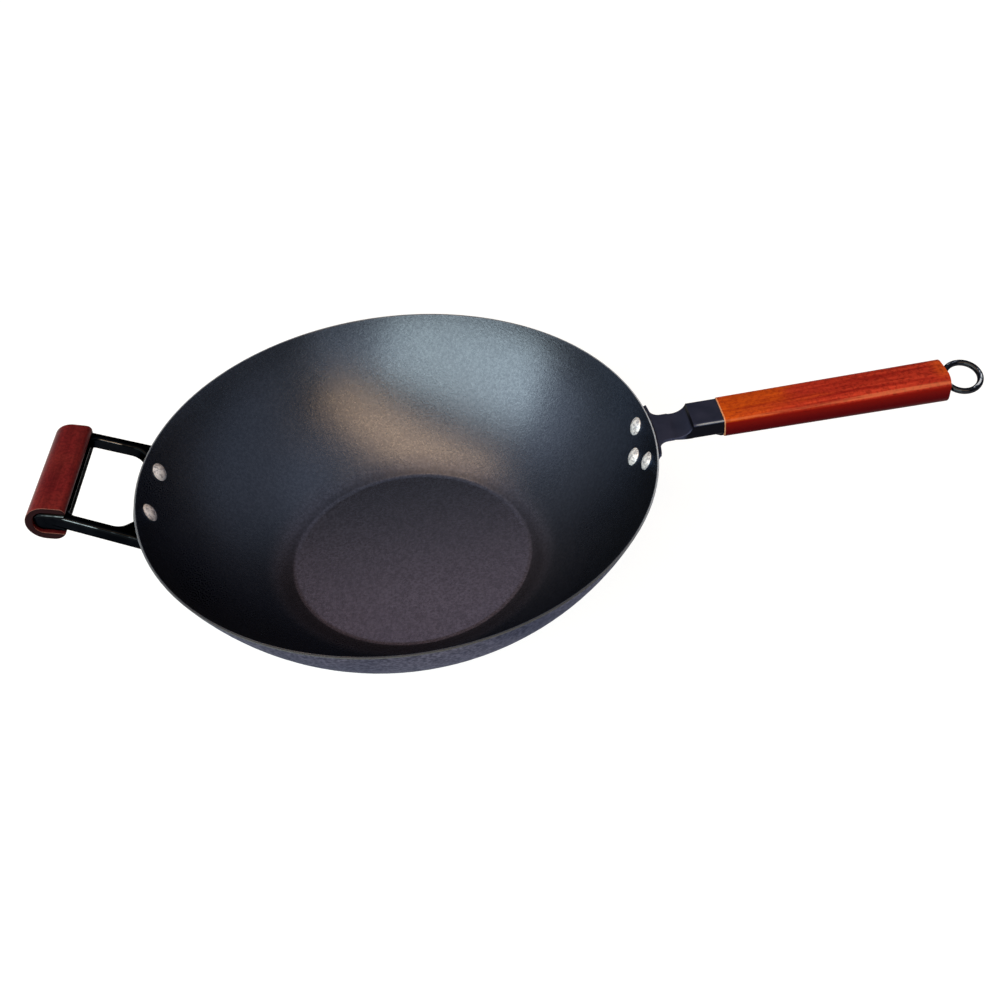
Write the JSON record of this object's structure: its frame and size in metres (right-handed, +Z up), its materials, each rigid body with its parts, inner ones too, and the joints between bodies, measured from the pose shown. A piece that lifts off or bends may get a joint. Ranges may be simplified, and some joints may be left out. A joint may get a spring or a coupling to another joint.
{
  "type": "wok",
  "caption": "Round carbon steel wok with sloping sides and a flat base, a long riveted handle with a wooden grip and hanging eye, and a wood-covered helper handle opposite.",
  "frame": {"origin": "middle of the flat base's underside", "axes": "+X along the long handle, away from the bowl; +Z up, along the bowl's axis; +Y to the left, seen from the bowl looking along the long handle"},
  "size_m": [0.6461, 0.3556, 0.1279],
  "materials": {
    "bowl": "blued and seasoned carbon steel sheet, near-black with a satin sheen",
    "long_bracket": "pressed steel with a satin blue-black coating",
    "long_grip": "stained and lacquered wood, orange at the front to red at the end",
    "rod": "blued steel wire, glossy",
    "anchor": "plain steel, hidden in the sleeve",
    "helper_bracket": "cast steel with a glossy black coating",
    "helper_grip": "stained and lacquered wood, brick red",
    "rivets": "bright domed steel rivets"
  },
  "bodies": {
    "root": {"wok_bowl": "bowl", "long_handle_bracket": "long_bracket", "long_handle_grip": "long_grip", "tie_rod": "rod", "tie_rod_anchor": "anchor", "helper_handle_bracket": "helper_bracket", "helper_handle_grip": "helper_grip", "long_handle_rivet_left": "rivets", "long_handle_rivet_right": "rivets", "long_handle_rivet_lower": "rivets", "helper_handle_rivet_left": "rivets", "helper_handle_rivet_right": "rivets"}
  },
  "joints": []
}
